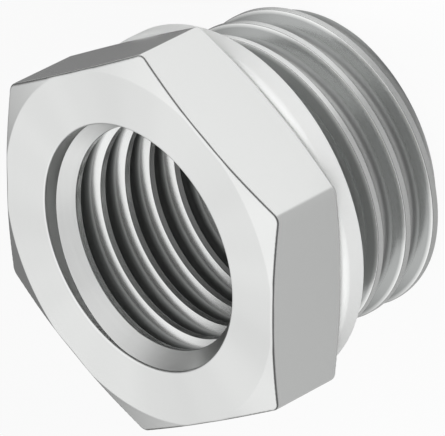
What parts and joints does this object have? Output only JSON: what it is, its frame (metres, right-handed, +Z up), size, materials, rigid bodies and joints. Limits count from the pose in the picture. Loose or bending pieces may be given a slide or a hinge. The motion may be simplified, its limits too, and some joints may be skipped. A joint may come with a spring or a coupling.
{
  "type": "reducing nipple",
  "caption": "Short hexagon reducing nipple: male thread below the hexagon, smaller female thread through it, and a captive sealing ring behind the hexagon.",
  "frame": {"origin": "centre of the end face of the male thread, on which the nipple stands", "axes": "+Z up the axis towards the hexagon and the mouth of the female thread, X through two corners of the hexagon, Y through two of its flats"},
  "size_m": [0.0274, 0.0244, 0.0176],
  "materials": {
    "plated_brass": "satin nickel plate over turned brass",
    "ring_plastic": "smooth white sealing plastic"
  },
  "bodies": {
    "root": {"nipple_body": "plated_brass", "sealing_ring": "ring_plastic"}
  },
  "joints": []
}
